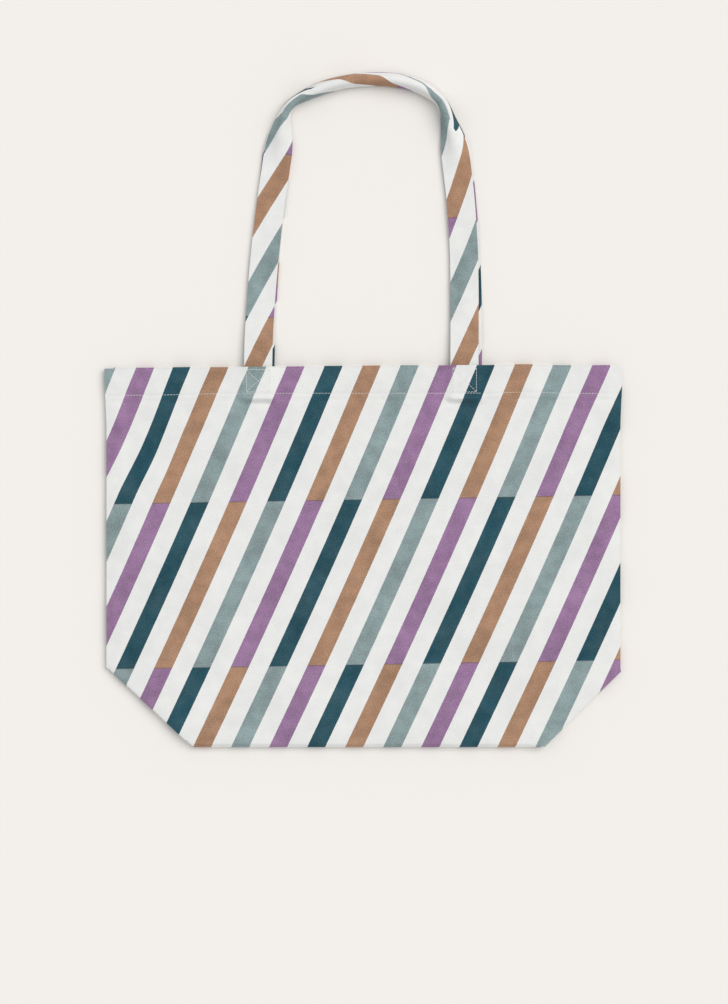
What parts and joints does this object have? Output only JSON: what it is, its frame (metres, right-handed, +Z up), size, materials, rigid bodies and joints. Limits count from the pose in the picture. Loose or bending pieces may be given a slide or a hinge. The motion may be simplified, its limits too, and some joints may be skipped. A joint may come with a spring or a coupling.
{
  "type": "tote bag",
  "caption": "Canvas shopping tote with a slanted stripe print, a boxed base folded flat between its panels, a stitched hem and long flat strap handles.",
  "frame": {"origin": "middle of the footprint, on the surface that the bag lies on, at the underside of the back panel", "axes": "+Y from the base to the handles, +X to the right as seen from the front, +Z up through the thickness, out of the front panel"},
  "size_m": [0.492, 0.6486, 0.0164],
  "materials": {
    "printed_canvas": "matt plain-weave cotton canvas, off-white with slanted printed stripes in grey-green, mauve, dark teal and tan",
    "printed_strap": "the same printed canvas folded into a flat strap",
    "sewing_thread": "white sewing thread"
  },
  "bodies": {
    "back": {"back_panel": "printed_canvas", "back_hem": "printed_canvas", "back_hem_stitch": "sewing_thread", "back_left_tab": "printed_strap", "back_right_tab": "printed_strap", "back_left_tab_stitch": "sewing_thread", "back_right_tab_stitch": "sewing_thread"},
    "front": {"front_panel": "printed_canvas", "front_hem": "printed_canvas", "front_hem_stitch": "sewing_thread", "front_left_tab": "printed_strap", "front_right_tab": "printed_strap", "front_left_tab_stitch": "sewing_thread", "front_right_tab_stitch": "sewing_thread"},
    "base_back": {"base_back_half": "printed_canvas"},
    "base_front": {"base_front_half": "printed_canvas"},
    "back_left_wall": {"back_left_side": "printed_canvas", "back_left_hem": "printed_canvas", "back_left_hem_stitch": "sewing_thread", "left_seam_allowance": "printed_canvas"},
    "back_left_corner": {"back_left_corner_fold": "printed_canvas"},
    "back_right_wall": {"back_right_side": "printed_canvas", "back_right_hem": "printed_canvas", "back_right_hem_stitch": "sewing_thread", "right_seam_allowance": "printed_canvas"},
    "back_right_corner": {"back_right_corner_fold": "printed_canvas"},
    "front_left_wall": {"front_left_side": "printed_canvas", "front_left_hem": "printed_canvas", "front_left_hem_stitch": "sewing_thread"},
    "front_left_corner": {"front_left_corner_fold": "printed_canvas"},
    "front_right_wall": {"front_right_side": "printed_canvas", "front_right_hem": "printed_canvas", "front_right_hem_stitch": "sewing_thread"},
    "front_right_corner": {"front_right_corner_fold": "printed_canvas"},
    "front_handle": {"front_handle_loop": "printed_strap"},
    "back_handle": {"back_handle_loop": "printed_strap"}
  },
  "joints": [
    {"name": "bag_unfold", "type": "hinge", "parent": "back", "child": "base_back", "pos_m": [0, -0.3253, 0.0013], "axis": [1, 0, 0], "range_deg": [0, 88]},
    {"name": "base_crease", "type": "hinge", "parent": "base_back", "child": "base_front", "pos_m": [0, -0.2493, 0.0047], "axis": [1, 0, 0], "range_deg": [-176, 0]},
    {"name": "front_fold", "type": "hinge", "parent": "base_front", "child": "front", "pos_m": [0, -0.3253, 0.0081], "axis": [1, 0, 0], "range_deg": [0, 88]},
    {"name": "back_left_wall_turn", "type": "hinge", "parent": "back", "child": "back_left_wall", "pos_m": [-0.17, -0.14, 0.0005], "axis": [0, 1, 0], "range_deg": [0, 88]},
    {"name": "back_left_corner_turn", "type": "hinge", "parent": "back_left_wall", "child": "back_left_corner", "pos_m": [-0.20994, -0.28186, 0.00283], "axis": [0.7309, -0.6819, -0.0279], "range_deg": [0, 177.76]},
    {"name": "back_right_wall_turn", "type": "hinge", "parent": "back", "child": "back_right_wall", "pos_m": [0.17, -0.14, 0.0005], "axis": [0, -1, 0], "range_deg": [0, 88]},
    {"name": "back_right_corner_turn", "type": "hinge", "parent": "back_right_wall", "child": "back_right_corner", "pos_m": [0.20994, -0.28846, 0.00283], "axis": [0.71, 0.7037, 0.0271], "range_deg": [0, 177.76]},
    {"name": "front_left_wall_turn", "type": "hinge", "parent": "front", "child": "front_left_wall", "pos_m": [-0.17, -0.14, 0.0089], "axis": [0, -1, 0], "range_deg": [0, 88]},
    {"name": "front_left_corner_turn", "type": "hinge", "parent": "front_left_wall", "child": "front_left_corner", "pos_m": [-0.20994, -0.28186, 0.00657], "axis": [-0.7309, 0.6819, -0.0279], "range_deg": [0, 177.76]},
    {"name": "front_right_wall_turn", "type": "hinge", "parent": "front", "child": "front_right_wall", "pos_m": [0.17, -0.14, 0.0089], "axis": [0, 1, 0], "range_deg": [0, 88]},
    {"name": "front_right_corner_turn", "type": "hinge", "parent": "front_right_wall", "child": "front_right_corner", "pos_m": [0.20994, -0.28846, 0.00657], "axis": [-0.71, -0.7037, 0.0271], "range_deg": [0, 177.76]},
    {"name": "front_handle_swing", "type": "hinge", "parent": "front", "child": "front_handle", "pos_m": [0, 0.0407, 0.0085], "axis": [1, 0, 0], "range_deg": [0, 170]},
    {"name": "back_handle_swing", "type": "hinge", "parent": "back", "child": "back_handle", "pos_m": [0, 0.0417, 0.0045], "axis": [1, 0, 0], "range_deg": [0, 85]}
  ],
  "couplings": [
    {"joint": "base_crease", "follows": "bag_unfold", "ratio": -2},
    {"joint": "front_fold", "follows": "bag_unfold", "ratio": 1},
    {"joint": "back_left_wall_turn", "follows": "bag_unfold", "ratio": 1},
    {"joint": "back_left_corner_turn", "follows": "bag_unfold", "ratio": 2.02},
    {"joint": "back_right_wall_turn", "follows": "bag_unfold", "ratio": 1},
    {"joint": "back_right_corner_turn", "follows": "bag_unfold", "ratio": 2.02},
    {"joint": "front_left_wall_turn", "follows": "bag_unfold", "ratio": 1},
    {"joint": "front_left_corner_turn", "follows": "bag_unfold", "ratio": 2.02},
    {"joint": "front_right_wall_turn", "follows": "bag_unfold", "ratio": 1},
    {"joint": "front_right_corner_turn", "follows": "bag_unfold", "ratio": 2.02},
    {"joint": "back_handle_swing", "follows": "front_handle_swing", "ratio": 0.5}
  ]
}
